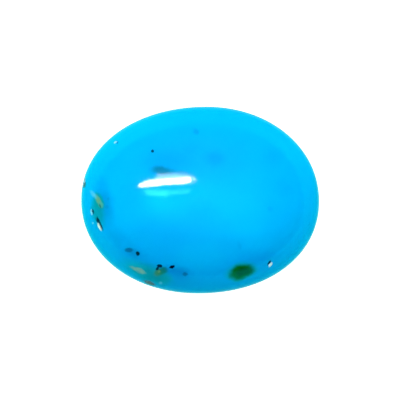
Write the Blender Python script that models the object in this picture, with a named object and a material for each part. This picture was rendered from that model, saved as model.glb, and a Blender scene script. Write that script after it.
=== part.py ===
"""An oval turquoise cabochon: a polished dome on a short wall, with a flat back and a few open pits.

Metres, +Z up. The origin is the middle of the flat back, and the long axis of the oval runs along X.
"""
import math

import bmesh
import bpy
from mathutils import Matrix, Vector

MM = 0.001

# Size of the whole stone
LENGTH = 18.0 * MM
WIDTH = 14.12 * MM
HEIGHT = 6.0 * MM

# The oval. It is a little squarer than an ellipse, egg-shaped towards -X and slightly skewed.
SQUARENESS = 2.085
EGG_ALONG = -0.0032
EGG_ACROSS = -0.0017
SKEW = -0.0031

# The side of the stone, from the back up to the dome
BACK_EDGE_WIDTH = 0.38 * MM
BACK_EDGE_HEIGHT = 0.32 * MM
WALL_TOP = 1.15 * MM
WALL_TAPER = 0.07 * MM

# The dome rises as (1 - s ** FULLNESS) ** 0.5, with s going from 0 at the middle to 1 at the wall.
DOME_FULLNESS = 2.12

# How finely the round surface is divided
STEPS_AROUND = 112
STEPS_POLE_TO_POLE = 56
PIT_STEPS_AROUND = 14
PIT_STEPS_DEEP = 8

# Each pit: its place seen from above, the heading of its long axis, its length, width and depth
PITS = {
    "long_pit": ((-7.58 * MM, -1.69 * MM), -68.0, 1.06 * MM, 0.36 * MM, 0.20 * MM),
    "short_pit": ((-8.08 * MM, -0.78 * MM), -84.0, 0.44 * MM, 0.30 * MM, 0.14 * MM),
    "right_pit": ((5.12 * MM, -4.81 * MM), -118.0, 0.46 * MM, 0.30 * MM, 0.15 * MM),
    "upper_pit": ((-6.25 * MM, 4.45 * MM), 36.0, 0.30 * MM, 0.22 * MM, 0.10 * MM),
    "rim_chip": ((-8.74 * MM, 1.44 * MM), -99.0, 0.72 * MM, 0.76 * MM, 0.20 * MM),
}

TURQUOISE = (0.01, 0.50, 0.95, 1.0)
POLISH_ROUGHNESS = 0.08


def clear_scene():
    for item in list(bpy.data.objects):
        bpy.data.objects.remove(item, do_unlink=True)


def new_collection(name):
    group = bpy.data.collections.new(name)
    bpy.context.scene.collection.children.link(group)
    return group


def turquoise_material():
    material = bpy.data.materials.new("polished_turquoise")
    material.use_nodes = True
    shader = material.node_tree.nodes["Principled BSDF"]
    shader.inputs["Base Color"].default_value = TURQUOISE
    shader.inputs["Roughness"].default_value = POLISH_ROUGHNESS
    shader.inputs["Metallic"].default_value = 0.0
    return material


def plain_oval_radius(heading):
    """Distance from the middle to the outline along a heading, before the oval is centred."""
    along = abs(math.cos(heading)) / (LENGTH / 2)
    across = abs(math.sin(heading)) / (WIDTH / 2)
    radius = (along ** SQUARENESS + across ** SQUARENESS) ** (-1 / SQUARENESS)
    egg = EGG_ALONG * math.cos(3 * heading) + EGG_ACROSS * math.sin(3 * heading)
    return radius * (1 + egg + SKEW * math.sin(4 * heading))


# The egg shape pushes the oval off the origin by this much, and every point is moved back by it.
OFF_CENTRE_X = (plain_oval_radius(0.0) - plain_oval_radius(math.pi)) / 2
OFF_CENTRE_Y = (plain_oval_radius(math.pi / 2) - plain_oval_radius(-math.pi / 2)) / 2


def oval_point(heading, share, inset, z):
    """A point at a share of the way out to the outline, which is first drawn in by an inset."""
    radius = share * (plain_oval_radius(heading) - inset)
    return Vector((
        radius * math.cos(heading) - OFF_CENTRE_X,
        radius * math.sin(heading) - OFF_CENTRE_Y,
        z,
    ))


def dome_height(share):
    rise = HEIGHT - WALL_TOP
    return WALL_TOP + rise * math.sqrt(max(0.0, 1 - share ** DOME_FULLNESS))


def dome_point(x, y):
    """The point of the dome that lies at x, y seen from above."""
    from_middle = Vector((x + OFF_CENTRE_X, y + OFF_CENTRE_Y))
    heading = math.atan2(from_middle.y, from_middle.x)
    share = from_middle.length / (plain_oval_radius(heading) - WALL_TAPER)
    return Vector((x, y, dome_height(min(share, 1.0))))


def dome_normal(x, y):
    step = 0.01 * MM
    along_x = dome_point(x + step, y) - dome_point(x - step, y)
    along_y = dome_point(x, y + step) - dome_point(x, y - step)
    return along_x.cross(along_y).normalized()


def make_cabochon(material, collection):
    shape = bmesh.new()
    bmesh.ops.create_uvsphere(
        shape, u_segments=STEPS_AROUND, v_segments=STEPS_POLE_TO_POLE, radius=1.0
    )

    # The lower half of the sphere goes, and the upper half is laid over the oval as the dome.
    lower_half = [vertex for vertex in shape.verts if vertex.co.z < -0.001]
    bmesh.ops.delete(shape, geom=lower_half, context="VERTS")
    for vertex in shape.verts:
        heading = math.atan2(vertex.co.y, vertex.co.x)
        share = min(1.0, math.hypot(vertex.co.x, vertex.co.y))
        vertex.co = oval_point(heading, share, WALL_TAPER, dome_height(share))

    # The wall, then the slanted edge of the back, each pulled down from the rim above it
    rim = [edge for edge in shape.edges if edge.is_boundary]
    rings_below = (
        (0.0, BACK_EDGE_HEIGHT),
        (BACK_EDGE_WIDTH, 0.0),
    )
    for inset, z in rings_below:
        pulled = bmesh.ops.extrude_edge_only(shape, edges=rim)["geom"]
        for vertex in [part for part in pulled if isinstance(part, bmesh.types.BMVert)]:
            heading = math.atan2(vertex.co.y + OFF_CENTRE_Y, vertex.co.x + OFF_CENTRE_X)
            vertex.co = oval_point(heading, 1.0, inset, z)
        rim = [part for part in pulled if isinstance(part, bmesh.types.BMEdge) and part.is_boundary]

    # The flat back
    bmesh.ops.holes_fill(shape, edges=rim, sides=0)
    bmesh.ops.recalc_face_normals(shape, faces=shape.faces)

    mesh = bpy.data.meshes.new("cabochon")
    shape.to_mesh(mesh)
    shape.free()
    mesh.materials.append(material)
    mesh.shade_smooth()
    mesh.set_sharp_from_angle(angle=math.radians(35))
    stone = bpy.data.objects.new("cabochon", mesh)
    collection.objects.link(stone)
    return stone


def make_pit_cutter(name, place, heading, length, width, depth, collection):
    """An egg-shaped cutter, sunk halfway into the dome and square to its surface."""
    shape = bmesh.new()
    bmesh.ops.create_uvsphere(
        shape, u_segments=PIT_STEPS_AROUND, v_segments=PIT_STEPS_DEEP, radius=1.0
    )
    half_sizes = (length / 2, width / 2, depth, 1.0)
    bmesh.ops.transform(shape, matrix=Matrix.Diagonal(half_sizes), verts=shape.verts)
    mesh = bpy.data.meshes.new(name)
    shape.to_mesh(mesh)
    shape.free()

    outward = dome_normal(*place)
    turned = math.radians(heading)
    long_axis = Vector((math.cos(turned), math.sin(turned), 0.0))
    across = outward.cross(long_axis).normalized()
    long_axis = across.cross(outward)
    axes = Matrix((long_axis, across, outward)).transposed()

    cutter = bpy.data.objects.new(name, mesh)
    cutter.matrix_world = Matrix.Translation(dome_point(*place)) @ axes.to_4x4()
    cutter.hide_render = True
    cutter.display_type = "WIRE"
    collection.objects.link(cutter)
    return cutter


def cut(stone, cutter):
    opening = stone.modifiers.new(cutter.name, "BOOLEAN")
    opening.operation = "DIFFERENCE"
    opening.solver = "EXACT"
    opening.object = cutter


clear_scene()
stone_collection = new_collection("turquoise_cabochon")
cutter_collection = new_collection("pit_cutters")

cabochon = make_cabochon(turquoise_material(), stone_collection)
for pit_name, (pit_place, pit_heading, pit_length, pit_width, pit_depth) in PITS.items():
    pit_cutter = make_pit_cutter(
        pit_name, pit_place, pit_heading, pit_length, pit_width, pit_depth, cutter_collection
    )
    cut(cabochon, pit_cutter)
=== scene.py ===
"""An oval turquoise cabochon, from the sawn blank to the polished stone on a pale table.

The stone is one piece. It is shaped first, then its minerals are laid in and its faces are finished,
and last come the table, the lights and the camera. Lengths are in metres unless a name ends in _mm.
"""
import math

import bpy
import numpy as np
from mathutils import Matrix, Vector, noise


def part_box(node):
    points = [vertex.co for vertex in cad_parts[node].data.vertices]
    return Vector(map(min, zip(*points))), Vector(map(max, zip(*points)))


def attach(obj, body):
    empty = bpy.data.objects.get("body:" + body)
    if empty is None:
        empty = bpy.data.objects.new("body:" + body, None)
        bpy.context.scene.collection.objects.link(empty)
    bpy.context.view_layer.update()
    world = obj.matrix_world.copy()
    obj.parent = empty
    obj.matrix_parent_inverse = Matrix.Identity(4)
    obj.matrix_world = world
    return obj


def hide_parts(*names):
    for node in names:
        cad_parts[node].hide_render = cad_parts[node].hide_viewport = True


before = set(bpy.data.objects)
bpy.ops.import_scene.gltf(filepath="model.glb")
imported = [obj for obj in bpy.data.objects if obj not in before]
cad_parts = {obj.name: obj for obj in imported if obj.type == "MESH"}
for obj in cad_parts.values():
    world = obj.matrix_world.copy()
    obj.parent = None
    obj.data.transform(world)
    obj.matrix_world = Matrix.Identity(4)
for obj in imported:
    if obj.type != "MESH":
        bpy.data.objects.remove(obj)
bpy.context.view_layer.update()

# The stone: one piece of turquoise, sawn to an oval, ground flat on the back and domed on the face.
# It is ground by hand against a wheel, so the oval is a little squarer than an ellipse and slightly
# fuller to the left. A short wall stands between the dome and the slanted edge round the back.
MM = 0.001
stone_low, stone_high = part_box("cabochon")
HALF_LENGTH = (stone_high[0] - stone_low[0]) / 2
HALF_WIDTH = (stone_high[1] - stone_low[1]) / 2
HEIGHT = stone_high[2] - stone_low[2]
SQUARENESS = 2.085
EGG_ALONG = -0.0032
EGG_ACROSS = -0.0017
SKEW = -0.0031
WALL_TOP = 1.15 * MM
WALL_TAPER = 0.07 * MM
WALL_STEPS = 6
BACK_EDGE_WIDTH = 0.38 * MM
BACK_EDGE_HEIGHT = 0.32 * MM
DOME_FULLNESS = 2.12
BLANK_CUTS = 99


def plain_oval_radius(heading):
    """Distance from the middle to the outline along a heading, before the oval is centred."""
    along = np.abs(np.cos(heading)) / HALF_LENGTH
    across = np.abs(np.sin(heading)) / HALF_WIDTH
    radius = (along ** SQUARENESS + across ** SQUARENESS) ** (-1 / SQUARENESS)
    egg = EGG_ALONG * np.cos(3 * heading) + EGG_ACROSS * np.sin(3 * heading)
    return radius * (1 + egg + SKEW * np.sin(4 * heading))


OFF_CENTRE_X = (plain_oval_radius(0.0) - plain_oval_radius(math.pi)) / 2
OFF_CENTRE_Y = (plain_oval_radius(math.pi / 2) - plain_oval_radius(-math.pi / 2)) / 2


def dome_height(share):
    """Height of the dome at a share of the way out from the middle to the wall."""
    return WALL_TOP + (HEIGHT - WALL_TOP) * np.sqrt(np.clip(1 - share ** DOME_FULLNESS, 0, None))


def lay_on_dome(ball):
    """Moves points of a ball's upper half to where they lie on the dome."""
    ball = ball / np.linalg.norm(ball, axis=1, keepdims=True)
    heading = np.arctan2(ball[:, 1], ball[:, 0])
    share = np.clip(np.hypot(ball[:, 0], ball[:, 1]), 0, 1)
    radius = share * (plain_oval_radius(heading) - WALL_TAPER)
    x = radius * np.cos(heading) - OFF_CENTRE_X
    y = radius * np.sin(heading) - OFF_CENTRE_Y
    return np.stack([x, y, dome_height(share)], axis=1)


def dome_point(x, y):
    """The point of the dome that lies at x, y seen from above."""
    heading = math.atan2(y + OFF_CENTRE_Y, x + OFF_CENTRE_X)
    reach = math.hypot(x + OFF_CENTRE_X, y + OFF_CENTRE_Y)
    share = min(1.0, reach / (plain_oval_radius(heading) - WALL_TAPER))
    return Vector((x, y, float(dome_height(share))))


def dome_normal(x, y):
    step = 0.01 * MM
    along_x = dome_point(x + step, y) - dome_point(x - step, y)
    along_y = dome_point(x, y + step) - dome_point(x, y - step)
    return along_x.cross(along_y).normalized()


def vertex_places(mesh):
    places = np.empty(len(mesh.vertices) * 3)
    mesh.vertices.foreach_get("co", places)
    return places.reshape(-1, 3)


bpy.ops.object.select_all(action="DESELECT")
bpy.ops.mesh.primitive_cube_add(size=2 * HALF_LENGTH, location=(0, 0, 0))
stone = bpy.context.object
stone.name = "turquoise_stone"
bpy.ops.object.mode_set(mode="EDIT")
bpy.ops.mesh.select_all(action="SELECT")
bpy.ops.mesh.subdivide(number_cuts=BLANK_CUTS)
bpy.ops.transform.tosphere(value=1.0)
bpy.ops.mesh.select_all(action="SELECT")
bpy.ops.mesh.bisect(plane_co=(0, 0, 0), plane_no=(0, 0, 1), clear_inner=True)
bpy.ops.object.mode_set(mode="OBJECT")

# The open pits: small hollows where softer mineral fell out while the stone was ground, and a chip at
# the rim. Each is ragged and steep-sided, deepest on the side nearest the middle of the stone. The
# mesh is cut finer there first, so that they have real walls and floors.
PITS = {
    # Each: its place seen from above, its heading in degrees, its length, width and depth
    "long_pit": ((-7.58 * MM, -1.69 * MM), -68.0, 1.06 * MM, 0.36 * MM, 0.20 * MM),
    "short_pit": ((-8.08 * MM, -0.78 * MM), -84.0, 0.44 * MM, 0.30 * MM, 0.14 * MM),
    "right_pit": ((5.12 * MM, -4.81 * MM), -118.0, 0.46 * MM, 0.30 * MM, 0.15 * MM),
    "upper_pit": ((-6.25 * MM, 4.45 * MM), 36.0, 0.30 * MM, 0.22 * MM, 0.10 * MM),
    "rim_chip": ((-8.74 * MM, 1.44 * MM), -99.0, 0.72 * MM, 0.76 * MM, 0.20 * MM),
}
FINER_CUTS = 2
COARSE_MARGIN = 0.30 * MM
FINE_MARGIN = 0.10 * MM
RAGGED_GRAIN = 0.13 * MM
RAGGEDNESS = 0.22
PIT_WALL_SHARE = 0.34
FLOOR_DEPTH = 0.72
FLOOR_TILT = 0.28
FLOOR_GRAIN = 0.07 * MM
FLOOR_UNEVENNESS = 0.30
NEAR_A_PIT = 1.3


class Pit:
    """A pit's middle on the dome, and its axes along, across and out of the surface."""

    def __init__(self, place, heading, length, width, depth):
        self.middle = dome_point(*place)
        self.outward = dome_normal(*place)
        turned = math.radians(heading)
        rough_along = Vector((math.cos(turned), math.sin(turned), 0.0))
        self.across = self.outward.cross(rough_along).normalized()
        self.along = self.across.cross(self.outward)
        self.half_length = length / 2
        self.half_width = width / 2
        self.depth = depth
        inward = Vector((-self.middle.x, -self.middle.y, 0.0))
        self.inward = (inward - inward.project(self.outward)).normalized()

    def reach(self, places, margin):
        """0 at the pit's middle and 1 at its edge, for each place, with a margin round the pit."""
        offset = places - np.array(self.middle)
        along = offset @ np.array(self.along) / (self.half_length + margin)
        across = offset @ np.array(self.across) / (self.half_width + margin)
        out = offset @ np.array(self.outward) / (self.half_length + margin)
        return np.sqrt(along ** 2 + across ** 2 + out ** 2)


def smooth_rise(value):
    """0 to 1 along a soft S-shaped curve."""
    value = min(1.0, max(0.0, value))
    return value * value * (3 - 2 * value)


def cut_finer(stone, pits, margin):
    """Cuts the faces in and round the pits into smaller ones."""
    mesh = stone.data
    centres = np.empty(len(mesh.polygons) * 3)
    mesh.polygons.foreach_get("center", centres)
    laid = lay_on_dome(centres.reshape(-1, 3))
    near = np.zeros(len(mesh.polygons), dtype=bool)
    for pit in pits:
        near |= pit.reach(laid, margin) < 1
    mesh.vertices.foreach_set("select", np.zeros(len(mesh.vertices), dtype=bool))
    mesh.edges.foreach_set("select", np.zeros(len(mesh.edges), dtype=bool))
    mesh.polygons.foreach_set("select", near)
    bpy.ops.object.mode_set(mode="EDIT")
    bpy.ops.mesh.select_mode(type="FACE")
    bpy.ops.mesh.subdivide(number_cuts=FINER_CUTS)
    bpy.ops.object.mode_set(mode="OBJECT")


def sink_pit(places, pit):
    """Pushes the surface inwards over a pit: a steep wall all round, and an uneven, tilted floor."""
    near = np.nonzero(pit.reach(places, FINE_MARGIN) < NEAR_A_PIT)[0]
    for index in near:
        place = Vector(places[index])
        offset = place - pit.middle
        edge_wander = 1 + RAGGEDNESS * noise.noise(place / RAGGED_GRAIN)
        along = offset.dot(pit.along) / pit.half_length
        across = offset.dot(pit.across) / pit.half_width
        edge_share = math.hypot(along, across) * edge_wander
        wall = smooth_rise((1.0 - edge_share) / PIT_WALL_SHARE)
        toward_middle = offset.dot(pit.inward) / pit.half_width
        slope = FLOOR_DEPTH + FLOOR_TILT * max(-1.0, min(1.0, toward_middle))
        floor = 1 + FLOOR_UNEVENNESS * noise.noise(place / FLOOR_GRAIN)
        places[index] = place - pit.outward * (pit.depth * wall * slope * floor)


pits = [Pit(*pit) for pit in PITS.values()]
cut_finer(stone, pits, COARSE_MARGIN)
cut_finer(stone, pits, FINE_MARGIN)
stone_places = lay_on_dome(vertex_places(stone.data))
for pit in pits:
    sink_pit(stone_places, pit)
stone.data.vertices.foreach_set("co", stone_places.ravel())
stone.data.update()

# The wall and the back: the rim of the dome is drawn straight down to the widest line of the stone,
# then in under it as a narrow slanted edge, and closed by the flat back. The edges that the wheel
# left are taken off with a small bevel.
EDGE_SOFTENING = 0.05 * MM
EDGE_STEPS = 3
BACK_MARGIN = 0.30 * MM
SAME_HEIGHT = 0.002 * MM
WIDEST_RING_REACH = 0.97
BACK_RING_REACH = 0.93
SMOOTH_UP_TO = math.radians(32)


def draw_rim(drop, inset_from, inset_to):
    """Pulls the open rim down by drop, while its inset from the outline changes."""
    bpy.ops.mesh.extrude_region_move(TRANSFORM_OT_translate={"value": (0, 0, -drop)})
    stretch_x = (HALF_LENGTH - inset_to) / (HALF_LENGTH - inset_from)
    stretch_y = (HALF_WIDTH - inset_to) / (HALF_WIDTH - inset_from)
    bpy.ops.transform.resize(value=(stretch_x, stretch_y, 1), center_override=(0, 0, 0))


bpy.ops.object.mode_set(mode="EDIT")
bpy.ops.mesh.select_mode(type="EDGE")
bpy.ops.mesh.select_all(action="DESELECT")
bpy.ops.mesh.select_non_manifold(
    extend=False, use_wire=False, use_boundary=True, use_multi_face=False,
    use_non_contiguous=False, use_verts=False,
)
for step in range(WALL_STEPS):
    taper_above = WALL_TAPER * (1 - step / WALL_STEPS)
    taper_below = WALL_TAPER * (1 - (step + 1) / WALL_STEPS)
    draw_rim((WALL_TOP - BACK_EDGE_HEIGHT) / WALL_STEPS, taper_above, taper_below)
draw_rim(BACK_EDGE_HEIGHT, 0.0, BACK_EDGE_WIDTH)
bpy.ops.mesh.edge_face_add()
bpy.ops.mesh.select_mode(type="FACE")
bpy.ops.mesh.inset(thickness=BACK_MARGIN, depth=0)
bpy.ops.mesh.select_all(action="SELECT")
bpy.ops.mesh.normals_make_consistent(inside=False)
bpy.ops.object.mode_set(mode="OBJECT")


def bevel_ring(stone, height, least_reach):
    """Bevels the ring of edges at a height on the stone, and at least so far out towards its outline."""
    mesh = stone.data
    places = vertex_places(mesh)
    ends = np.empty(len(mesh.edges) * 2, dtype=int)
    mesh.edges.foreach_get("vertices", ends)
    ends = ends.reshape(-1, 2)
    at_height = np.abs(places[:, 2] - height) < SAME_HEIGHT
    reach = np.hypot(places[:, 0] / HALF_LENGTH, places[:, 1] / HALF_WIDTH)
    on_ring = at_height & (reach > least_reach)
    chosen = on_ring[ends[:, 0]] & on_ring[ends[:, 1]]
    mesh.vertices.foreach_set("select", np.zeros(len(mesh.vertices), dtype=bool))
    mesh.polygons.foreach_set("select", np.zeros(len(mesh.polygons), dtype=bool))
    mesh.edges.foreach_set("select", chosen)
    bpy.ops.object.mode_set(mode="EDIT")
    bpy.ops.mesh.select_mode(type="EDGE")
    bpy.ops.mesh.bevel(offset=EDGE_SOFTENING, segments=EDGE_STEPS, affect="EDGES")
    bpy.ops.object.mode_set(mode="OBJECT")


bevel_ring(stone, BACK_EDGE_HEIGHT, WIDEST_RING_REACH)
bevel_ring(stone, 0.0, BACK_RING_REACH)
bpy.ops.object.shade_smooth_by_angle(angle=SMOOTH_UP_TO)

# The minerals: turquoise is never all one blue. It has paler and deeper clouds, green patches where
# iron took the place of copper, tan lenses of the rock it grew in, and small black grains of pyrite.
# They lie flush in the polished face and the back. Some patches are painted light and shade instead:
# glints and shade in the pits and the rim chip, and shade on the lower side of the dome, mixed there
# with deeper clouds. Lengths are in millimetres, seen from above.
class Mineral:
    """One patch in the stone: its place, size and heading from above, and its colour.

    strength says how fully it covers the blue, softness and edge how it meets it, deep how far it
    reaches up and down from its middle, and dull how much it breaks the polish.
    """

    def __init__(self, name, at, size, heading, colour, strength=1.0, softness=0.3, edge="wavy",
                 deep=1.2, dull=0.0, on_back=False):
        self.name = name
        self.at = at
        self.size = size
        self.heading = heading
        self.colour = colour
        self.strength = strength
        self.softness = softness
        self.edge = edge
        self.deep = deep
        self.dull = dull
        self.on_back = on_back


BLUE = (0.000, 0.410, 0.920)
DEEP_BLUE = (0.000, 0.340, 0.850)
DEEPEST_BLUE = (0.000, 0.260, 0.700)
PALE_BLUE = (0.000, 0.460, 0.960)
TEAL = (0.000, 0.380, 0.500)
DARK_TEAL = (0.000, 0.270, 0.380)
TEAL_GREEN = (0.001, 0.330, 0.400)
LEAF_GREEN = (0.000, 0.160, 0.012)
DARK_GREEN = (0.000, 0.078, 0.002)
MOSS_GREEN = (0.004, 0.200, 0.110)
OLIVE = (0.050, 0.230, 0.060)
TAN = (0.165, 0.430, 0.350)
OLIVE_TAN = (0.130, 0.330, 0.140)
# Painted glints on the lit side of the pits: this colour and the next
PALE_PIT_GLINT = (0.600, 0.900, 0.920)
CREAM_PIT_GLINT = (0.600, 0.820, 0.660)
PALE_GREY_BLUE = (0.090, 0.560, 0.780)
GREY_BLUE = (0.001, 0.205, 0.420)
SLATE_BLUE = (0.001, 0.145, 0.390)
SLATE_BROWN = (0.110, 0.060, 0.070)
SEA_GREEN = (0.000, 0.270, 0.240)
PALE_OLIVE = (0.060, 0.360, 0.270)
BROWN_ROCK = (0.270, 0.300, 0.200)
DARK_ROCK = (0.160, 0.190, 0.130)
# The next two are painted glints in a pit and a small chip; after them come broken grey stone, and
# painted shade in the rim chip and in the pits
PALE_BLUE_PIT_GLINT = (0.250, 0.720, 0.860)
CHIP_GLINT_BLUE = (0.100, 0.700, 0.900)
BROKEN_GREY = (0.450, 0.550, 0.560)
BROKEN_SHADOW = (0.010, 0.040, 0.050)
PIT_SHADOW = (0.000, 0.020, 0.055)
PYRITE_BLACK = (0.000, 0.004, 0.034)
CLOUD_SOFTNESS = 0.8
GRAIN_SOFTNESS = 0.25
PIT_LIGHT_SOFTNESS = 0.3
BACK_SOFTNESS = 0.5
PIT_LIGHT_DEPTH_MM = 0.5
BACK_DEPTH_MM = 0.25


def cloud(name, at, size, heading, colour, strength):
    """A wide soft cloud in the blue."""
    return Mineral(name, at, size, heading, colour, strength, CLOUD_SOFTNESS)


def grain(name, at, size, heading, strength=1.0):
    """A small black grain of pyrite."""
    return Mineral(name, at, size, heading, PYRITE_BLACK, strength, GRAIN_SOFTNESS, "ragged")


def painted_pit_light(name, at, size, heading, colour, strength, dull):
    """Painted light and shade on a pit's broken stone: a painted glint on the side where light falls in,
    painted shade on the side where it doesn't.
    """
    return Mineral(name, at, size, heading, colour, strength, PIT_LIGHT_SOFTNESS, "ragged",
                   deep=PIT_LIGHT_DEPTH_MM, dull=dull)


def back_patch(name, at, size, heading, colour, strength, edge="wavy"):
    """A patch that comes out on the flat back, its place still counted from above."""
    return Mineral(name, at, size, heading, colour, strength, BACK_SOFTNESS, edge,
                   deep=BACK_DEPTH_MM, on_back=True)


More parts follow.
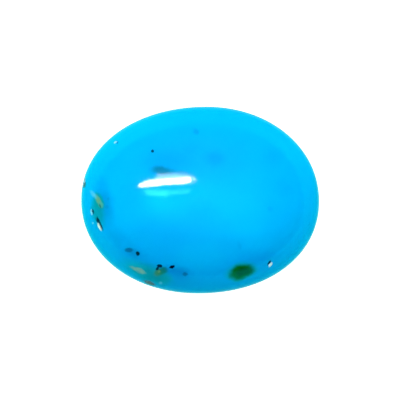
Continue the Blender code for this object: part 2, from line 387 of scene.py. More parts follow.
MINERALS = (
    # Clouds in the blue
    cloud("cloud_top", (1.10, 3.05), (1.40, 1.05), -8, DEEP_BLUE, 0.85),
    cloud("cloud_upper_left", (-0.57, 3.89), (1.20, 1.00), 20, DEEP_BLUE, 0.35),
    cloud("cloud_upper_right", (5.50, 3.20), (1.40, 1.20), 0, DEEP_BLUE, 0.45),
    cloud("cloud_right", (6.23, 0.83), (1.20, 1.20), 0, DEEP_BLUE, 0.35),
    cloud("cloud_middle", (0.00, -0.80), (2.40, 1.40), 0, DEEP_BLUE, 0.55),
    cloud("cloud_right_middle", (4.35, -1.05), (2.80, 2.00), 0, DEEP_BLUE, 0.25),
    cloud("cloud_over_smudge", (-2.60, 2.95), (3.40, 1.60), 0, DEEP_BLUE, 0.75),
    cloud("pale_low", (0.10, -4.10), (3.60, 2.40), 0, PALE_BLUE, 1.0),
    cloud("pale_low_right", (4.15, -3.40), (3.00, 0.90), 0, PALE_BLUE, 0.55),
    cloud("pale_right", (3.80, 1.70), (2.80, 1.30), 0, PALE_BLUE, 0.35),
    cloud("pale_band", (2.60, -2.50), (6.00, 1.10), 0, PALE_BLUE, 0.50),
    cloud("pale_left", (-5.20, -1.20), (2.60, 1.30), 0, PALE_BLUE, 0.55),
    # Painted shade mixed with the stone's own deeper clouds: the next three darken the lower side of the
    # dome, turned away from the light
    cloud("low_right_shade_cloud", (4.10, -4.75), (3.20, 1.70), 0, DEEP_BLUE, 0.65),
    cloud("low_left_shade_cloud", (-4.90, -4.30), (2.80, 1.50), -30, DEEP_BLUE, 0.75),
    cloud("low_shade_cloud", (-2.00, -5.90), (3.00, 1.30), 0, DEEPEST_BLUE, 0.40),
    Mineral("speck_right", (5.23, -0.75), (0.40, 0.40), 0, DEEP_BLUE, 0.80, 0.6),
    Mineral("speck_lower_right", (2.82, -3.45), (0.30, 0.55), 10, DEEP_BLUE, 0.50, 0.6),
    Mineral("speck_top", (-0.20, 5.08), (0.40, 0.38), 0, SLATE_BLUE, 0.35, 0.6),
    cloud("haze_left", (-7.18, -0.15), (2.60, 1.25), -80, DEEPEST_BLUE, 1.0),
    cloud("haze_upper_left", (-7.35, 1.20), (1.10, 1.10), 0, DEEP_BLUE, 0.75),
    # Painted shade mixed with the stone's own deeper blue, darkening the lower left of the dome, turned
    # away from the light
    cloud("lower_left_shade_haze", (-6.20, -2.60), (2.20, 0.90), -25, DEEP_BLUE, 0.50),

    # The grey smudge, above and to the left of the middle
    Mineral("grey_smudge", (-2.84, 2.22), (1.50, 0.68), -6, GREY_BLUE, 1.0, 0.55),
    Mineral("smudge_tail", (-1.55, 2.05), (2.20, 0.42), -6, GREY_BLUE, 0.45, 0.7),

    # The lower left: a teal bed that holds a tan lens, green patches and pyrite
    Mineral("teal_bed", (-4.10, -5.45), (3.40, 1.60), -22, TEAL, 0.90, 0.6),
    Mineral("teal_bed_right", (-3.10, -5.75), (1.40, 1.10), 10, TEAL, 0.80, 0.6),
    Mineral("teal_bed_deep", (-3.60, -5.60), (2.00, 1.20), -18, DARK_TEAL, 0.90, 0.8),
    Mineral("tan_lens_edge", (-4.70, -5.20), (1.45, 0.46), -24, TEAL_GREEN, 0.70, 0.5, "ragged"),
    Mineral("tan_lens", (-4.74, -5.16), (1.15, 0.26), -24, TAN, 0.85, 0.45, "ragged"),
    Mineral("tan_lens_thick", (-4.58, -5.22), (0.70, 0.36), -28, TAN, 0.90, 0.45, "ragged"),
    Mineral("tan_lens_shade", (-4.70, -5.30), (0.40, 0.14), -28, DARK_TEAL, 0.45, 0.7, "ragged"),
    Mineral("green_patch_small", (-2.91, -5.26), (1.00, 0.48), 20, MOSS_GREEN, 0.95, 0.45),
    Mineral("olive_patch", (-3.28, -5.40), (0.50, 0.42), 50, OLIVE, 0.68, 0.8, "ragged"),
    Mineral("leaf_speck", (-2.72, -5.16), (0.30, 0.34), 0, LEAF_GREEN, 0.55, 0.8, "ragged"),
    Mineral("olive_speck", (-3.15, -5.29), (0.20, 0.16), 0, OLIVE_TAN, 0.60, 0.6, "ragged"),
    Mineral("blue_halo", (-1.75, -5.35), (1.70, 0.90), -15, DEEPEST_BLUE, 0.75, 0.7),
    Mineral("blue_smudge", (-1.21, -5.58), (0.38, 0.30), 0, SLATE_BLUE, 0.90, 0.5),
    Mineral("dark_smear", (-5.37, -3.65), (0.60, 0.32), -2, SLATE_BLUE, 1.0, 0.4, "ragged"),
    Mineral("smear_tail", (-5.06, -3.86), (0.90, 0.50), -30, SLATE_BLUE, 0.35, 0.8),
    grain("grain_a", (-4.71, -3.93), (0.29, 0.33), 5),
    grain("grain_b", (-2.18, -4.95), (0.44, 0.24), 18),
    grain("grain_c", (-3.09, -4.87), (0.42, 0.26), -8, 0.98),
    grain("grain_d", (-3.27, -5.06), (0.32, 0.20), 50, 0.95),
    Mineral("pale_spot", (-3.04, -6.17), (0.24, 0.22), 0, PALE_GREY_BLUE, 0.65, 0.8, "ragged",
            deep=0.5),
    Mineral("brown_rim", (-3.90, -6.20), (0.82, 0.46), -22, SLATE_BROWN, 1.0, 0.5, "ragged",
            deep=0.66, dull=0.5),

    # The left end: an olive lens in a teal halo, with a pale tail
    Mineral("teal_halo", (-7.66, -0.80), (0.92, 2.05), 8, DARK_TEAL, 0.95, 0.6),
    Mineral("olive_lens_rim", (-7.55, -0.02), (1.22, 0.62), -62, SEA_GREEN, 0.85, 0.4),
    Mineral("olive_lens", (-7.60, 0.06), (0.90, 0.30), -62, OLIVE_TAN, 0.90, 0.5, "ragged"),
    Mineral("olive_lens_low", (-7.43, -0.24), (0.46, 0.34), -70, PALE_OLIVE, 0.85, 0.5, "ragged"),
    Mineral("pale_tail", (-7.97, 0.52), (0.62, 0.24), -50, PALE_GREY_BLUE, 0.70, 0.8, "ragged"),
    Mineral("lens_grain", (-7.48, -0.34), (0.34, 0.14), -65, PYRITE_BLACK, 0.60, 0.6, "ragged"),
    Mineral("speck_left_a", (-6.89, 0.17), (0.22, 0.20), 0, SLATE_BLUE, 0.30, 0.6),
    Mineral("speck_left_b", (-6.97, -0.40), (0.26, 0.24), 0, SLATE_BLUE, 0.30, 0.6),

    # The green patch, low on the right
    Mineral("green_halo", (3.00, -5.42), (2.20, 1.58), 12, TEAL, 0.85, 0.35),
    Mineral("green_edge", (3.00, -5.44), (1.92, 1.34), 14, TEAL_GREEN, 0.95, 0.3),
    Mineral("green_patch", (3.00, -5.44), (1.72, 1.18), 15, LEAF_GREEN, 1.0, 0.3),
    Mineral("green_core", (3.18, -5.42), (1.32, 0.68), 14, DARK_GREEN, 0.95, 0.6),

    # A lone grain, and painted light in the pits and the rim chip: a painted glint on the side where
    # light falls in, painted shade on the side where it doesn't. The rim chip is broken grey stone with
    # painted shade in it.
    grain("grain_top", (-3.50, 3.70), (0.22, 0.24), 0, 0.92),
    painted_pit_light("long_pit_glint", (-7.56, -1.89), (0.64, 0.19), -64, CREAM_PIT_GLINT, 0.90, 0.5),
    painted_pit_light("long_pit_dark", (-7.52, -1.64), (1.12, 0.17), -68, PIT_SHADOW, 0.95, 0.1),
    painted_pit_light("long_pit_top", (-7.68, -1.40), (0.46, 0.26), -66, PIT_SHADOW, 0.98, 0.1),
    painted_pit_light("short_pit_glint", (-8.15, -0.80), (0.42, 0.15), -86, PALE_BLUE_PIT_GLINT, 0.70, 0.4),
    painted_pit_light("short_pit_dark", (-8.02, -0.77), (0.34, 0.15), -84, PIT_SHADOW, 0.98, 0.1),
    painted_pit_light("right_pit_glint", (5.19, -4.90), (0.42, 0.20), -118, PALE_PIT_GLINT, 0.90, 0.4),
    painted_pit_light("right_pit_dark", (5.09, -4.76), (0.42, 0.14), -118, PIT_SHADOW, 0.95, 0.1),
    painted_pit_light("upper_pit_glint", (-6.30, 4.42), (0.25, 0.12), 40, PALE_PIT_GLINT, 0.50, 0.4),
    painted_pit_light("upper_pit_dark", (-6.14, 4.40), (0.22, 0.13), 60, SLATE_BLUE, 0.90, 0.1),
    painted_pit_light("tiny_chip_glint", (-8.06, -1.62), (0.17, 0.15), 30, CHIP_GLINT_BLUE, 0.75, 0.3),
    Mineral("rim_chip_pale", (-8.75, 1.50), (0.76, 0.36), -99, BROKEN_GREY, 0.90, 0.3, "ragged",
            deep=0.45, dull=0.8),
    Mineral("rim_chip_dark", (-8.71, 1.29), (0.48, 0.36), -99, BROKEN_SHADOW, 1.0, 0.35, "ragged",
            deep=0.66, dull=0.6),

    # The back, where the teal bed comes through with the rock that it grew in
    back_patch("back_cloud", (3.60, 2.10), (4.60, 2.80), 20, DEEPEST_BLUE, 0.60),
    back_patch("back_teal", (-3.90, -3.10), (5.20, 2.60), -32, TEAL, 0.85),
    back_patch("back_rock", (-4.40, -3.30), (2.60, 0.80), -34, BROWN_ROCK, 0.90, "ragged"),
    back_patch("back_rock_thin", (-1.90, -1.90), (2.40, 0.22), -20, DARK_ROCK, 0.85, "ragged"),
    back_patch("back_green", (2.90, -4.30), (1.90, 1.10), 15, TEAL_GREEN, 0.80),
    back_patch("back_grain_a", (-3.20, -2.40), (0.36, 0.26), 20, PYRITE_BLACK, 0.95, "ragged"),
    back_patch("back_grain_b", (-2.60, -3.00), (0.26, 0.20), -30, PYRITE_BLACK, 0.95, "ragged"),
    back_patch("back_grain_c", (1.20, 0.90), (0.24, 0.30), 0, PYRITE_BLACK, 0.90, "ragged"),
)


def add_node(tree, kind, settings=None, **values):
    """Adds a shader node. settings are its own options, and values are its inputs by name."""
    node = tree.nodes.new(kind)
    for name, value in (settings or {}).items():
        setattr(node, name, value)
    for name, value in values.items():
        node.inputs[name.replace("_", " ")].default_value = value
    return node


def make_patch_group():
    """A mask for one mineral patch: 1 inside a turned egg shape, falling softly to 0 at its edge."""
    group = bpy.data.node_groups.new("mineral_patch", "ShaderNodeTree")
    for name, kind in (
        ("Place", "NodeSocketVector"),
        ("Centre", "NodeSocketVector"),
        ("Half Size", "NodeSocketVector"),
        ("Heading", "NodeSocketFloat"),
        ("Inner Edge", "NodeSocketFloat"),
        ("Outer Edge", "NodeSocketFloat"),
        ("Strength", "NodeSocketFloat"),
    ):
        group.interface.new_socket(name, in_out="INPUT", socket_type=kind)
    group.interface.new_socket("Mask", in_out="OUTPUT", socket_type="NodeSocketFloat")
    given = group.nodes.new("NodeGroupInput")
    result = group.nodes.new("NodeGroupOutput")
    link = group.links.new
    from_centre = add_node(group, "ShaderNodeVectorMath", {"operation": "SUBTRACT"})
    link(given.outputs["Place"], from_centre.inputs[0])
    link(given.outputs["Centre"], from_centre.inputs[1])
    turned = add_node(group, "ShaderNodeVectorRotate", {"rotation_type": "Z_AXIS", "invert": True})
    link(from_centre.outputs[0], turned.inputs["Vector"])
    link(given.outputs["Heading"], turned.inputs["Angle"])
    shares = add_node(group, "ShaderNodeVectorMath", {"operation": "DIVIDE"})
    link(turned.outputs[0], shares.inputs[0])
    link(given.outputs["Half Size"], shares.inputs[1])
    reach = add_node(group, "ShaderNodeVectorMath", {"operation": "LENGTH"})
    link(shares.outputs[0], reach.inputs[0])
    fade = add_node(group, "ShaderNodeMapRange", {"interpolation_type": "SMOOTHSTEP"}, To_Max=0.0)
    link(reach.outputs["Value"], fade.inputs["Value"])
    link(given.outputs["Inner Edge"], fade.inputs["From Min"])
    link(given.outputs["Outer Edge"], fade.inputs["From Max"])
    link(given.outputs["Strength"], fade.inputs["To Min"])
    link(fade.outputs["Result"], result.inputs["Mask"])
    return group


def mix_colours(tree, share, under, over):
    """Mixes two colours by a share. Each is a socket or a plain colour."""
    mix = add_node(tree, "ShaderNodeMix", {"data_type": "RGBA"})
    for socket, value in ((mix.inputs[0], share), (mix.inputs[6], under), (mix.inputs[7], over)):
        if isinstance(value, bpy.types.NodeSocket):
            tree.links.new(value, socket)
        elif isinstance(value, tuple):
            socket.default_value = (*value, 1.0)
        else:
            socket.default_value = value
    return mix.outputs[2]


def math_node(tree, operation, *values):
    """Works out one operation. Each value is a socket or a number."""
    total = add_node(tree, "ShaderNodeMath", {"operation": operation})
    for socket, value in zip(total.inputs, values):
        if isinstance(value, bpy.types.NodeSocket):
            tree.links.new(value, socket)
        else:
            socket.default_value = value
    return total.outputs[0]


def wander(tree, place, per_mm, detail, far):
    """The place in millimetres, pushed about by noise. far is how far, in millimetres."""
    wave = add_node(tree, "ShaderNodeTexNoise", Scale=per_mm, Detail=detail)
    tree.links.new(place, wave.inputs["Vector"])
    centred = add_node(tree, "ShaderNodeVectorMath", {"operation": "SUBTRACT"})
    tree.links.new(wave.outputs["Color"], centred.inputs[0])
    centred.inputs[1].default_value = (0.5, 0.5, 0.5)
    scaled = add_node(tree, "ShaderNodeVectorMath", {"operation": "SCALE"}, Scale=far)
    tree.links.new(centred.outputs[0], scaled.inputs[0])
    moved = add_node(tree, "ShaderNodeVectorMath", {"operation": "ADD"})
    tree.links.new(place, moved.inputs[0])
    tree.links.new(scaled.outputs[0], moved.inputs[1])
    return moved.outputs[0]


WAVY_PER_MM = 1.1
WAVY_FAR_MM = 0.45
RAGGED_PER_MM = 7.0
RAGGED_FAR_MM = 0.12
WANDER_DETAIL = 3.0
CLOUDS_PER_MM = 0.35
CLOUD_SHARE = 0.16
FINE_GRAIN_PER_MM = 5.0
FINE_GRAIN_SHARE = 0.14
NOISE_LOW = 0.35
NOISE_HIGH = 0.65

turquoise = bpy.data.materials.new("turquoise_with_minerals")
turquoise.use_nodes = True
tree = turquoise.node_tree
shader = tree.nodes["Principled BSDF"]
where = add_node(tree, "ShaderNodeTexCoord")
to_mm = add_node(tree, "ShaderNodeVectorMath", {"operation": "SCALE"}, Scale=1 / MM)
tree.links.new(where.outputs["Object"], to_mm.inputs[0])
place_mm = to_mm.outputs[0]
places_by_edge = {
    "wavy": wander(tree, place_mm, WAVY_PER_MM, WANDER_DETAIL, WAVY_FAR_MM),
    "ragged": wander(tree, place_mm, RAGGED_PER_MM, WANDER_DETAIL, RAGGED_FAR_MM),
}

# The blue itself drifts between deeper and paler, in wide clouds and in a fine grain
wide_clouds = add_node(tree, "ShaderNodeTexNoise", Scale=CLOUDS_PER_MM, Detail=3.0, Roughness=0.5)
fine_grain = add_node(tree, "ShaderNodeTexNoise", Scale=FINE_GRAIN_PER_MM, Detail=4.0, Roughness=0.6)
for texture in (wide_clouds, fine_grain):
    tree.links.new(place_mm, texture.inputs["Vector"])
cloud_share = add_node(
    tree, "ShaderNodeMapRange", From_Min=NOISE_LOW, From_Max=NOISE_HIGH, To_Max=CLOUD_SHARE,
)
tree.links.new(wide_clouds.outputs["Fac"], cloud_share.inputs["Value"])
grain_share = add_node(
    tree, "ShaderNodeMapRange", From_Min=NOISE_LOW, From_Max=NOISE_HIGH, To_Max=FINE_GRAIN_SHARE,
)
tree.links.new(fine_grain.outputs["Fac"], grain_share.inputs["Value"])
stone_colour = mix_colours(tree, cloud_share.outputs["Result"], BLUE, DEEP_BLUE)
stone_colour = mix_colours(tree, grain_share.outputs["Result"], stone_colour, PALE_BLUE)

patch_group = make_patch_group()
dullness = 0.0
for mineral in MINERALS:
    patch = tree.nodes.new("ShaderNodeGroup")
    patch.node_tree = patch_group
    patch.label = mineral.name
    middle = dome_point(mineral.at[0] * MM, mineral.at[1] * MM) / MM
    if mineral.on_back:
        middle.z = 0.0
    patch.inputs["Centre"].default_value = middle
    patch.inputs["Half Size"].default_value = (mineral.size[0] / 2, mineral.size[1] / 2, mineral.deep)
    patch.inputs["Heading"].default_value = math.radians(mineral.heading)
    patch.inputs["Inner Edge"].default_value = 1 - mineral.softness
    patch.inputs["Outer Edge"].default_value = 1 + mineral.softness
    patch.inputs["Strength"].default_value = mineral.strength
    tree.links.new(places_by_edge[mineral.edge], patch.inputs["Place"])
    stone_colour = mix_colours(tree, patch.outputs["Mask"], stone_colour, mineral.colour)
    if mineral.dull > 0:
        patch_dullness = math_node(tree, "MULTIPLY", patch.outputs["Mask"], mineral.dull)
        dullness = math_node(tree, "MAXIMUM", dullness, patch_dullness)

# The finish: the dome and the wall are polished to a gloss, with the faint unevenness that a leather
# wheel leaves. The back is only ground, so it is matt and paler, with fine scratches from the wheel,
# and the pits are as rough as broken stone.
STONE_IOR = 1.60
POLISH_ROUGHNESS = 0.052
POLISH_DRIFT = 0.03
POLISH_WAVES_PER_MM = 5.0
POLISH_WAVE_HEIGHT = 0.0040 * MM
GROUND_TO_MM = 0.28
POLISHED_FROM_MM = 0.36
GROUND_ROUGHNESS = 0.55
GROUND_COLOUR = (0.10, 0.55, 0.80)
GROUND_PALENESS = 0.18
SCRATCH_PALENESS = 0.34
SCRATCHES_PER_MM = 9.0
SCRATCH_NARROWING = 0.06
SCRATCH_HEADING = math.radians(28)
SCRATCH_DEPTH = 0.014 * MM
WORN_HEIGHT_MM = 0.33
WORN_FULLY_MM = 0.02
WORN_AT_ALL_MM = 0.11
UNWORN_NOISE = 0.42
WORN_NOISE = 0.62
WEAR_PALENESS = 0.55
WEAR_DULLNESS = 0.7
BROKEN_GRAIN_PER_MM = 14.0
BROKEN_DEPTH = 0.035 * MM
LIGHT_ENTERING = 0.25
LIGHT_REACH = 0.5 * MM
LIGHT_REACH_BY_COLOUR = (0.2, 0.6, 1.0)

height = add_node(tree, "ShaderNodeSeparateXYZ")
tree.links.new(place_mm, height.inputs[0])
back_mask = add_node(
    tree, "ShaderNodeMapRange", {"interpolation_type": "SMOOTHSTEP"},
    From_Min=GROUND_TO_MM, From_Max=POLISHED_FROM_MM, To_Min=1.0, To_Max=0.0,
)
tree.links.new(height.outputs["Z"], back_mask.inputs["Value"])

# Scratches: noise drawn out long across the back, in the direction the stone was held to the wheel
along_wheel = add_node(tree, "ShaderNodeMapping")
along_wheel.inputs["Rotation"].default_value = (0.0, 0.0, SCRATCH_HEADING)
along_wheel.inputs["Scale"].default_value = (SCRATCH_NARROWING, 1.0, SCRATCH_NARROWING)
tree.links.new(place_mm, along_wheel.inputs["Vector"])
scratches = add_node(tree, "ShaderNodeTexNoise", Scale=SCRATCHES_PER_MM, Detail=5.0, Roughness=0.7)
tree.links.new(along_wheel.outputs["Vector"], scratches.inputs["Vector"])
scratch_share = add_node(tree, "ShaderNodeMapRange", From_Min=NOISE_LOW, From_Max=NOISE_HIGH)
tree.links.new(scratches.outputs["Fac"], scratch_share.inputs["Value"])

paleness = math_node(
    tree, "MULTIPLY_ADD", scratch_share.outputs["Result"], SCRATCH_PALENESS, GROUND_PALENESS
)
ground_share = math_node(tree, "MULTIPLY", back_mask.outputs["Result"], paleness)

# Wear: the line where the wall meets the slanted edge is rubbed pale and dull here and there
above_edge = math_node(tree, "SUBTRACT", height.outputs["Z"], WORN_HEIGHT_MM)
from_edge = math_node(tree, "ABSOLUTE", above_edge)
on_edge = add_node(
    tree, "ShaderNodeMapRange",
    From_Min=WORN_FULLY_MM, From_Max=WORN_AT_ALL_MM, To_Min=1.0, To_Max=0.0,
)
tree.links.new(from_edge, on_edge.inputs["Value"])
rubbed = add_node(tree, "ShaderNodeMapRange", From_Min=UNWORN_NOISE, From_Max=WORN_NOISE)
tree.links.new(fine_grain.outputs["Fac"], rubbed.inputs["Value"])
wear = math_node(tree, "MULTIPLY", on_edge.outputs["Result"], rubbed.outputs["Result"])
wear_paleness = math_node(tree, "MULTIPLY", wear, WEAR_PALENESS)
ground_share = math_node(tree, "MAXIMUM", ground_share, wear_paleness)
stone_colour = mix_colours(tree, ground_share, stone_colour, GROUND_COLOUR)
tree.links.new(stone_colour, shader.inputs["Base Color"])

wear_dullness = math_node(tree, "MULTIPLY", wear, WEAR_DULLNESS)
rough_share = math_node(tree, "MAXIMUM", back_mask.outputs["Result"], dullness)
rough_share = math_node(tree, "MAXIMUM", rough_share, wear_dullness)
smoothest = POLISH_ROUGHNESS - POLISH_DRIFT / 2
polish = math_node(tree, "MULTIPLY_ADD", fine_grain.outputs["Fac"], POLISH_DRIFT, smoothest)
roughness = add_node(tree, "ShaderNodeMapRange", To_Max=GROUND_ROUGHNESS)
tree.links.new(rough_share, roughness.inputs["Value"])
tree.links.new(polish, roughness.inputs["To Min"])
tree.links.new(roughness.outputs["Result"], shader.inputs["Roughness"])

# Relief, as a height in metres: soft waves in the polish, the scratches, and the broken pit floors
polish_waves = add_node(
    tree, "ShaderNodeTexNoise", Scale=POLISH_WAVES_PER_MM, Detail=3.0, Roughness=0.55,
)
broken_grain = add_node(
    tree, "ShaderNodeTexNoise", Scale=BROKEN_GRAIN_PER_MM, Detail=3.0, Roughness=0.6,
)
for texture in (polish_waves, broken_grain):
    tree.links.new(place_mm, texture.inputs["Vector"])
waves = math_node(tree, "MULTIPLY", polish_waves.outputs["Fac"], POLISH_WAVE_HEIGHT)
scratch_relief = math_node(tree, "MULTIPLY", scratches.outputs["Fac"], SCRATCH_DEPTH)
scratch_relief = math_node(tree, "MULTIPLY", scratch_relief, back_mask.outputs["Result"])
broken_relief = math_node(tree, "MULTIPLY", broken_grain.outputs["Fac"], BROKEN_DEPTH)
broken_relief = math_node(tree, "MULTIPLY", broken_relief, dullness)
relief_height = math_node(tree, "ADD", waves, scratch_relief)
relief_height = math_node(tree, "ADD", relief_height, broken_relief)
relief = add_node(tree, "ShaderNodeBump", Strength=1.0, Distance=1.0)
tree.links.new(relief_height, relief.inputs["Height"])
tree.links.new(relief.outputs["Normal"], shader.inputs["Normal"])

# Turquoise lets a little light in, and the blue of it travels furthest
shader.inputs["IOR"].default_value = STONE_IOR
shader.inputs["Subsurface Weight"].default_value = LIGHT_ENTERING
shader.inputs["Subsurface Radius"].default_value = LIGHT_REACH_BY_COLOUR
shader.inputs["Subsurface Scale"].default_value = LIGHT_REACH

stone.data.materials.append(turquoise)
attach(stone, "root")
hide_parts("cabochon")

# The table: a wide sheet of matt white board under the stone, laid flat. It is lit so brightly that
# the stone throws almost no shadow on it, so it also glows. The polish mirrors the surround instead.
TABLE_WIDTH = 1.2
TABLE_GAP = 0.2 * MM
BOARD_WHITE = (0.90, 0.90, 0.90, 1.0)
BOARD_ROUGHNESS = 0.8
BOARD_GLOW = 0.8

bpy.ops.object.select_all(action="DESELECT")
bpy.ops.mesh.primitive_plane_add(size=TABLE_WIDTH, location=(0, 0, -TABLE_GAP))
table = bpy.context.object
table.name = "white_table"
board = bpy.data.materials.new("white_board")
board.use_nodes = True
board_shader = board.node_tree.nodes["Principled BSDF"]
board_shader.inputs["Base Color"].default_value = BOARD_WHITE
board_shader.inputs["Roughness"].default_value = BOARD_ROUGHNESS
board_shader.inputs["Specular IOR Level"].default_value = 0.0
board_shader.inputs["Emission Color"].default_value = (1.0, 1.0, 1.0, 1.0)
board_ray = add_node(board.node_tree, "ShaderNodeLightPath")
board_glow = math_node(board.node_tree, "MULTIPLY", board_ray.outputs["Is Camera Ray"], BOARD_GLOW)
board.node_tree.links.new(board_glow, board_shader.inputs["Emission Strength"])
table.data.materials.append(board)
table.visible_glossy = False

# The light: a soft surround, strongest overhead and at the far side. What the polish mirrors of it is
# pale blue, and a little white from straight below, so the edge of the stone stays light.
# Each part of the surround is a direction, how sharply it is bounded, and how bright it is.
LIGHT_ON_STONE = (
    ((0.0, 0.0, 1.0), 4.0, 2.44),
    ((0.0, 0.944, 0.330), 2.0, 0.93),
    ((0.0, 1.0, 1.0), 8.0, 1.55),
)
MIRRORED_FROM_ABOVE = (
    ((-1.0, 0.0, 0.35), 3.0, 1.73),
    ((1.0, 0.0, 0.35), 3.0, 0.85),
    ((0.0, 1.0, 0.35), 3.0, 0.22),
    ((0.33, -0.03, 1.0), 16.0, 1.41),
    ((-0.12, -0.02, 1.0), 16.0, 2.38),
    ((0.60, -0.35, 1.0), 16.0, 1.35),
    ((-0.42, 0.00, 1.0), 60.0, 2.00),
)
MIRRORED_FROM_BELOW = (
    ((-1.0, 0.2, 0.0), 1.0, 1.42),
    ((1.0, 0.1, 0.0), 1.0, 0.78),
    ((0.0, 1.0, 0.0), 1.0, 0.30),
)
MIRRORED_BELOW_EVERYWHERE = 0.57
MIRRORED_WHITE_BELOW = ((0.0, 0.0, -1.0), 12.0, 0.13)
MIRRORED_TINT = (0.0, 1.0, 1.0)
BELOW_ENDS = -0.04
ABOVE_BEGINS = 0.12

world = bpy.data.worlds.new("soft_surround")
world.use_nodes = True
world.cycles.sampling_method = "NONE"
bpy.context.scene.world = world
sky_tree = world.node_tree
background = sky_tree.nodes["Background"]
sky_where = add_node(sky_tree, "ShaderNodeTexCoord")
ray = add_node(sky_tree, "ShaderNodeLightPath")


def sky_lobe(toward, sharpness, level):
    """A soft bright part of the surround, centred on a direction."""
    facing = add_node(sky_tree, "ShaderNodeVectorMath", {"operation": "DOT_PRODUCT"})
    sky_tree.links.new(sky_where.outputs["Generated"], facing.inputs[0])
    facing.inputs[1].default_value = Vector(toward).normalized()
    share = math_node(sky_tree, "MAXIMUM", facing.outputs["Value"], 0.0)
    return math_node(sky_tree, "MULTIPLY", math_node(sky_tree, "POWER", share, sharpness), level)


def sky_lobes(parts):
    """Several soft bright parts of the surround together."""
    total = sky_lobe(*parts[0])
    for part in parts[1:]:
        total = math_node(sky_tree, "ADD", total, sky_lobe(*part))
    return total


sky_parts = add_node(sky_tree, "ShaderNodeSeparateXYZ")
sky_tree.links.new(sky_where.outputs["Generated"], sky_parts.inputs[0])
above_share = add_node(
    sky_tree, "ShaderNodeMapRange", {"interpolation_type": "SMOOTHSTEP"},
    From_Min=BELOW_ENDS, From_Max=ABOVE_BEGINS,
)
sky_tree.links.new(sky_parts.outputs["Z"], above_share.inputs["Value"])
is_above = math_node(sky_tree, "GREATER_THAN", sky_parts.outputs["Z"], 0.0)
on_stone = math_node(sky_tree, "MULTIPLY", sky_lobes(LIGHT_ON_STONE), is_above)
mirrored_above = sky_lobes(MIRRORED_FROM_ABOVE)
mirrored_below = math_node(
    sky_tree, "ADD", sky_lobes(MIRRORED_FROM_BELOW), MIRRORED_BELOW_EVERYWHERE
)
mirrored = add_node(sky_tree, "ShaderNodeMix")
sky_tree.links.new(above_share.outputs["Result"], mirrored.inputs["Factor"])
sky_tree.links.new(mirrored_below, mirrored.inputs["A"])
sky_tree.links.new(mirrored_above, mirrored.inputs["B"])
tinted = add_node(sky_tree, "ShaderNodeVectorMath", {"operation": "SCALE"})
tinted.inputs[0].default_value = MIRRORED_TINT
sky_tree.links.new(mirrored.outputs["Result"], tinted.inputs["Scale"])
white_below = sky_lobe(*MIRRORED_WHITE_BELOW)
with_white = add_node(sky_tree, "ShaderNodeVectorMath", {"operation": "ADD"})
sky_tree.links.new(tinted.outputs["Vector"], with_white.inputs[0])
sky_tree.links.new(white_below, with_white.inputs[1])
sky_colour = mix_colours(
    sky_tree, ray.outputs["Is Glossy Ray"], on_stone, with_white.outputs["Vector"]
)
sky_colour = mix_colours(sky_tree, ray.outputs["Is Camera Ray"], sky_colour, (1.0, 1.0, 1.0))
sky_tree.links.new(sky_colour, background.inputs["Color"])


# The window: a long bright opening above the stone, hung as three panes side by side, the left one
# narrower. It shows as the white bar in the polish. Dimmer panes above and below it show there as the
# haze over the bar and the pale blue bar under it.
WINDOW_DISTANCE = 0.300
WINDOW_TOWARD = Vector((-0.308, 0.246, 0.919)).normalized()
WINDOW_SIDEWAYS = Vector((0, 1, 0)).cross(WINDOW_TOWARD).normalized()
WINDOW_UP = WINDOW_TOWARD.cross(WINDOW_SIDEWAYS)
WINDOW_BRIGHTNESS = 26.0
HAZE_BRIGHTNESS = 5.0
LOWER_BAR_BRIGHTNESS = 5.2
LOWER_BAR_END_BRIGHTNESS = 4.2
WHITE = (1.0, 1.0, 1.0)
PALE_GREY = (0.80, 0.94, 1.00)
PALE_CYAN = (0.08, 1.0, 1.0)


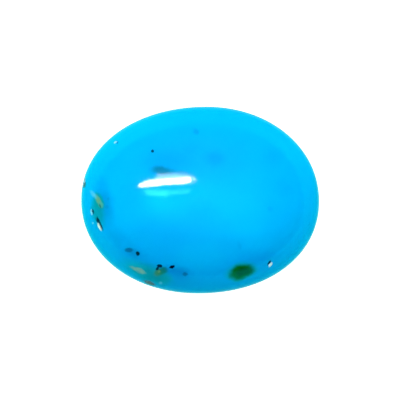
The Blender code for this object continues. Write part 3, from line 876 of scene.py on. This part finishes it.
def hang_pane(name, sideways_mm, up_mm, width_mm, height_mm, turned_degrees, brightness, colour):
    """A flat lamp that shows only in the polish. Its place is counted from the window's middle."""
    lamp = bpy.data.lights.new(name, "AREA")
    lamp.shape = "RECTANGLE"
    lamp.size = width_mm * MM
    lamp.size_y = height_mm * MM
    lamp.energy = 4 * brightness * lamp.size * lamp.size_y
    lamp.color = colour
    pane = bpy.data.objects.new(name, lamp)
    spin = Matrix.Rotation(math.radians(turned_degrees), 4, "Z")
    axes = Matrix((WINDOW_SIDEWAYS, WINDOW_UP, WINDOW_TOWARD)).transposed().to_4x4()
    middle = (
        WINDOW_TOWARD * WINDOW_DISTANCE
        + WINDOW_SIDEWAYS * sideways_mm * MM
        + WINDOW_UP * up_mm * MM
    )
    pane.matrix_world = Matrix.Translation(middle) @ axes @ spin
    pane.visible_camera = False
    pane.visible_diffuse = False
    bpy.context.scene.collection.objects.link(pane)


hang_pane("window_right", 23, 8, 102, 26, 3, WINDOW_BRIGHTNESS, WHITE)
hang_pane("window_middle", -40, 2, 60, 27, 6, WINDOW_BRIGHTNESS, WHITE)
hang_pane("window_left", -77, -3, 34, 17, 12, WINDOW_BRIGHTNESS, WHITE)
hang_pane("haze_pane", 14, 35, 90, 21, -2, HAZE_BRIGHTNESS, PALE_GREY)
hang_pane("lower_bar_pane", -28, -44, 80, 25, -6, LOWER_BAR_BRIGHTNESS, PALE_CYAN)
hang_pane("lower_bar_end_pane", 34, -42, 84, 13, 5, LOWER_BAR_END_BRIGHTNESS, PALE_CYAN)

# The camera: it hangs straight above the stone and looks down through a long lens. It is turned a
# little, so that the stone lies slightly askew in the picture, and is aimed a little off its middle.
CAMERA_HEIGHT = 0.30
FRAME_PIXELS = 400
STONE_LENGTH_PIXELS = 238.1
STONE_MIDDLE_PIXELS = (200.17, 200.07)
STONE_TILT_DEGREES = 0.80
SENSOR_MM = 36.0
pixel_size = 2 * HALF_LENGTH / STONE_LENGTH_PIXELS
lens = bpy.data.cameras.new("long_lens")
lens.sensor_width = SENSOR_MM
lens.lens = SENSOR_MM * (CAMERA_HEIGHT - BACK_EDGE_HEIGHT) / (FRAME_PIXELS * pixel_size)
lens.clip_start = 0.01
lens.clip_end = 10.0
camera = bpy.data.objects.new("camera", lens)
camera.location = (
    (FRAME_PIXELS / 2 - STONE_MIDDLE_PIXELS[0]) * pixel_size,
    (STONE_MIDDLE_PIXELS[1] - FRAME_PIXELS / 2) * pixel_size,
    CAMERA_HEIGHT,
)
camera.rotation_euler = (0, 0, math.radians(-STONE_TILT_DEGREES))
bpy.context.scene.collection.objects.link(camera)
bpy.context.scene.camera = camera
bpy.context.scene.view_settings.view_transform = "Standard"

bpy.context.view_layer.update()
